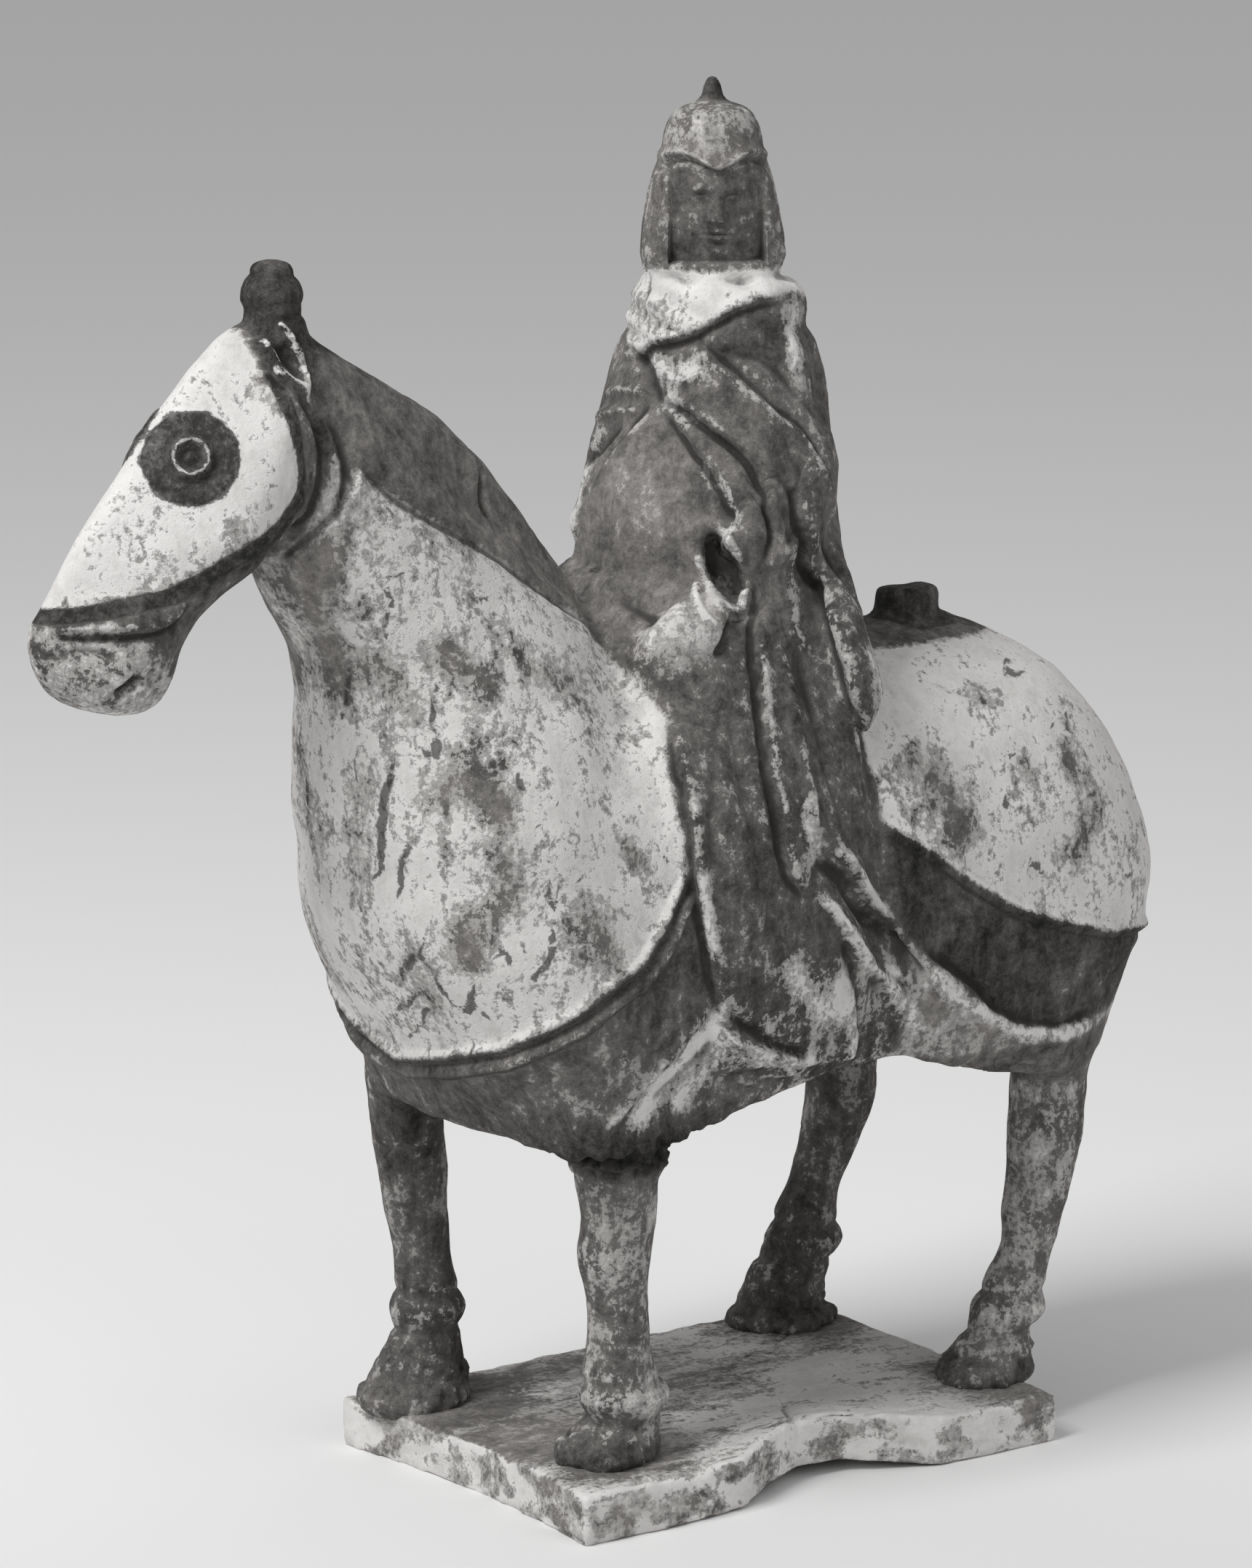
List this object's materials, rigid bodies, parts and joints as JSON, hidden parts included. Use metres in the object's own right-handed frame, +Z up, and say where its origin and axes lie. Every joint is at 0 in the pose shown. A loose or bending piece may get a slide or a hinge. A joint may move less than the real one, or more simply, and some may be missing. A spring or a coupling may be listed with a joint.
{
  "type": "earthenware tomb figure of a cloaked rider on an armoured horse",
  "caption": "Hollow fired-clay statuette of a helmeted, cloaked rider on an armoured horse, standing on its own thin clay slab.",
  "frame": {"origin": "middle of the slab's flat underside, on the surface that the figure stands on", "axes": "+Z up through the rider's helmet; the horse faces -X, so +X points to its tail; +Y is the horse's right side"},
  "size_m": [0.2795, 0.098, 0.3],
  "materials": {
    "painted_earthenware": "unglazed grey clay under worn white slip and dark pigment, matt",
    "slab_earthenware": "unglazed clay with blotched white slip, matt"
  },
  "bodies": {
    "root": {"horse_and_rider": "painted_earthenware", "plinth": "slab_earthenware"}
  },
  "joints": []
}
